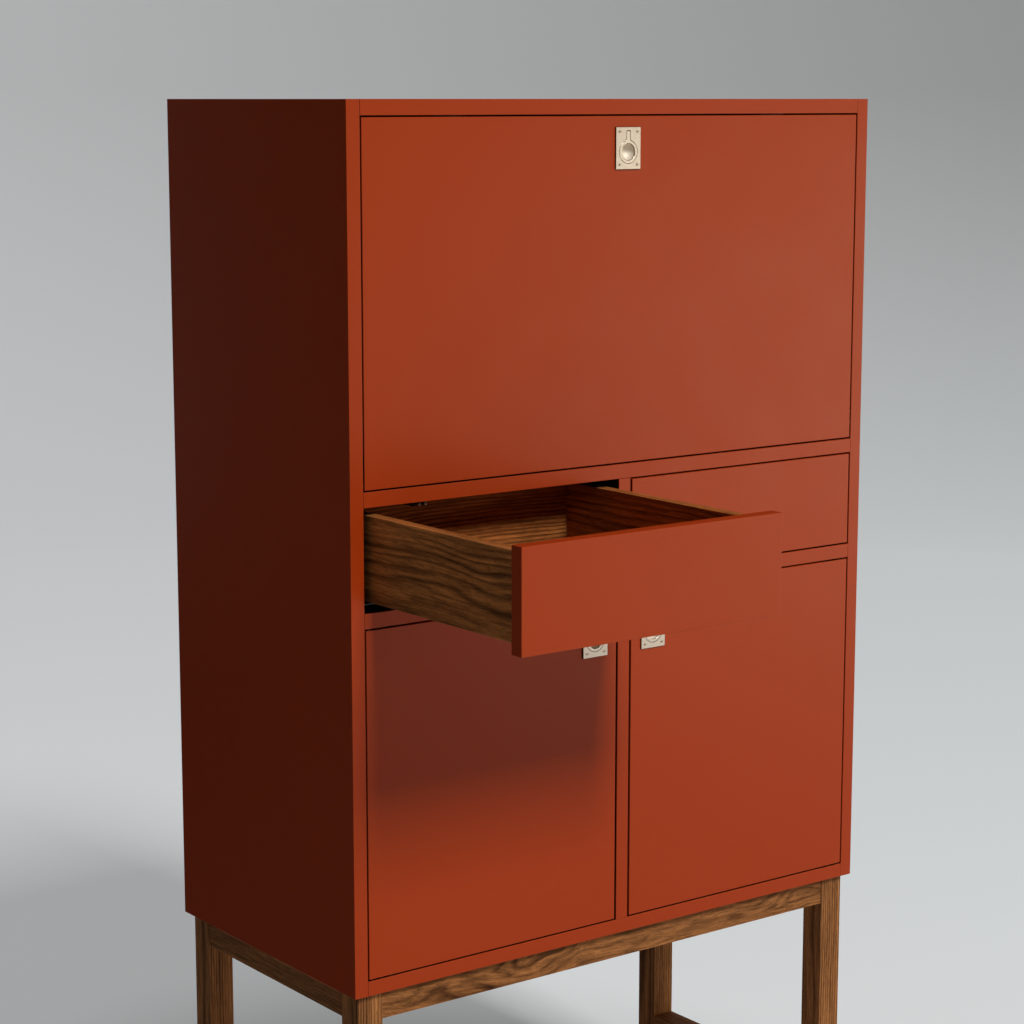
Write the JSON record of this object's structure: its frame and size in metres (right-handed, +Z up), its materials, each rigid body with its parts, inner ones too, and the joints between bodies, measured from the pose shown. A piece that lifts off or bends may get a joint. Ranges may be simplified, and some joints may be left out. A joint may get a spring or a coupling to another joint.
{
  "type": "bar cabinet",
  "caption": "Free-standing bar cabinet in terracotta lacquer on a walnut stand: fall-front flap, side-by-side drawers, hinged doors and flush ring pulls.",
  "frame": {"origin": "on the floor, under the middle of the carcass (not of the open drawer)", "axes": "+Z up, -Y out of the front, +X to the right of someone facing the front"},
  "size_m": [0.8, 0.694, 1.45],
  "materials": {
    "red_lacquer": "satin terracotta lacquer on board",
    "walnut": "oiled solid walnut",
    "drawer_walnut": "oiled solid walnut boards",
    "drawer_floor_walnut": "walnut-faced ply",
    "pull_nickel": "satin nickel-plated brass casting",
    "ring_nickel": "nickel-plated brass, lightly polished",
    "screw_nickel": "nickel-plated steel",
    "hinge_bronze": "dark bronze-finished steel",
    "zinc_steel": "bright zinc-plated steel sheet",
    "black_plastic": "moulded black plastic",
    "beech": "fluted beech dowels, bare"
  },
  "bodies": {
    "cabinet": {"side_panel_left": "red_lacquer", "side_panel_right": "red_lacquer", "top_panel": "red_lacquer", "bottom_panel": "red_lacquer", "bar_deck": "red_lacquer", "cupboard_deck": "red_lacquer", "drawer_divider": "red_lacquer", "door_divider": "red_lacquer", "back_panel": "red_lacquer", "dowels": "beech", "bar_floor_board": "walnut", "bar_shelf": "walnut", "cupboard_shelves": "walnut", "shelf_pins": "hinge_bronze", "hinge_plates": "hinge_bronze", "magnet_catches": "black_plastic", "runner_rails": "zinc_steel", "touch_latches": "black_plastic", "cabinet_screws": "screw_nickel", "leg_front_left": "walnut", "leg_front_right": "walnut", "leg_back_left": "walnut", "leg_back_right": "walnut", "rail_front": "walnut", "rail_back": "walnut", "rail_left": "walnut", "rail_right": "walnut", "stretcher_left": "walnut", "stretcher_right": "walnut", "foot_glides": "black_plastic"},
    "flap": {"flap_panel": "red_lacquer", "flap_hinge_leaves": "hinge_bronze", "flap_pull_plate": "pull_nickel", "flap_fixings": "screw_nickel", "flap_stay_brackets": "hinge_bronze"},
    "flap_ring": {"flap_pull_ring": "ring_nickel"},
    "stay_left": {"stay_arm_left": "hinge_bronze"},
    "stay_right": {"stay_arm_right": "hinge_bronze"},
    "door_left": {"door_left_panel": "red_lacquer", "door_left_hinge_leaves": "hinge_bronze", "door_left_pull_plate": "pull_nickel", "door_left_fixings": "screw_nickel"},
    "door_left_ring": {"door_left_pull_ring": "ring_nickel"},
    "drawer_left": {"drawer_left_front": "red_lacquer", "drawer_left_box": "drawer_walnut", "drawer_left_bottom": "drawer_floor_walnut", "drawer_left_runners": "zinc_steel"},
    "runner_middles_left": {"runner_middles_left": "zinc_steel"},
    "latch_plungers_left": {"latch_plungers_left": "hinge_bronze"},
    "door_right": {"door_right_panel": "red_lacquer", "door_right_hinge_leaves": "hinge_bronze", "door_right_pull_plate": "pull_nickel", "door_right_fixings": "screw_nickel"},
    "door_right_ring": {"door_right_pull_ring": "ring_nickel"},
    "drawer_right": {"drawer_right_front": "red_lacquer", "drawer_right_box": "drawer_walnut", "drawer_right_bottom": "drawer_floor_walnut", "drawer_right_runners": "zinc_steel"},
    "runner_middles_right": {"runner_middles_right": "zinc_steel"},
    "latch_plungers_right": {"latch_plungers_right": "hinge_bronze"}
  },
  "joints": [
    {"name": "flap_fold", "type": "hinge", "parent": "cabinet", "child": "flap", "pos_m": [0, -0.196, 1.018], "axis": [1, 0, 0], "range_deg": [0, 90]},
    {"name": "flap_ring_swing", "type": "hinge", "parent": "flap", "child": "flap_ring", "pos_m": [0, -0.201, 1.41175], "axis": [-1, 0, 0], "range_deg": [0, 90]},
    {"name": "stay_left_swing", "type": "hinge", "parent": "flap", "child": "stay_left", "pos_m": [-0.37875, -0.17, 1.2163], "axis": [1, 0, 0], "range_deg": [-45, 0]},
    {"name": "stay_right_swing", "type": "hinge", "parent": "flap", "child": "stay_right", "pos_m": [0.37875, -0.17, 1.2163], "axis": [1, 0, 0], "range_deg": [-45, 0]},
    {"name": "door_left_swing", "type": "hinge", "parent": "cabinet", "child": "door_left", "pos_m": [-0.375, -0.196, 0.643], "axis": [0, 0, -1], "range_deg": [0, 110]},
    {"name": "door_left_ring_swing", "type": "hinge", "parent": "door_left", "child": "door_left_ring", "pos_m": [-0.046, -0.201, 0.82075], "axis": [-1, 0, 0], "range_deg": [0, 90]},
    {"name": "door_right_swing", "type": "hinge", "parent": "cabinet", "child": "door_right", "pos_m": [0.375, -0.196, 0.643], "axis": [0, 0, 1], "range_deg": [0, 110]},
    {"name": "door_right_ring_swing", "type": "hinge", "parent": "door_right", "child": "door_right_ring", "pos_m": [0.046, -0.201, 0.82075], "axis": [-1, 0, 0], "range_deg": [0, 90]},
    {"name": "drawer_left_slide", "type": "slide", "parent": "cabinet", "child": "drawer_left", "axis": [0, -1, 0], "range_m": [-0.294, 0.05]},
    {"name": "runner_middles_left_slide", "type": "slide", "parent": "cabinet", "child": "runner_middles_left", "axis": [0, -1, 0], "range_m": [-0.147, 0.025]},
    {"name": "drawer_right_slide", "type": "slide", "parent": "cabinet", "child": "drawer_right", "axis": [0, -1, 0], "range_m": [0, 0.344]},
    {"name": "runner_middles_right_slide", "type": "slide", "parent": "cabinet", "child": "runner_middles_right", "axis": [0, -1, 0], "range_m": [0, 0.172]},
    {"name": "latch_plungers_left_push", "type": "slide", "parent": "cabinet", "child": "latch_plungers_left", "axis": [0, 1, 0], "range_m": [0, 0.003], "stiffness_N_per_m": 300},
    {"name": "latch_plungers_right_push", "type": "slide", "parent": "cabinet", "child": "latch_plungers_right", "axis": [0, 1, 0], "range_m": [0, 0.003], "stiffness_N_per_m": 300}
  ],
  "couplings": [
    {"joint": "stay_left_swing", "follows": "flap_fold", "ratio": -0.5},
    {"joint": "stay_right_swing", "follows": "flap_fold", "ratio": -0.5},
    {"joint": "runner_middles_left_slide", "follows": "drawer_left_slide", "ratio": 0.5},
    {"joint": "runner_middles_right_slide", "follows": "drawer_right_slide", "ratio": 0.5}
  ]
}
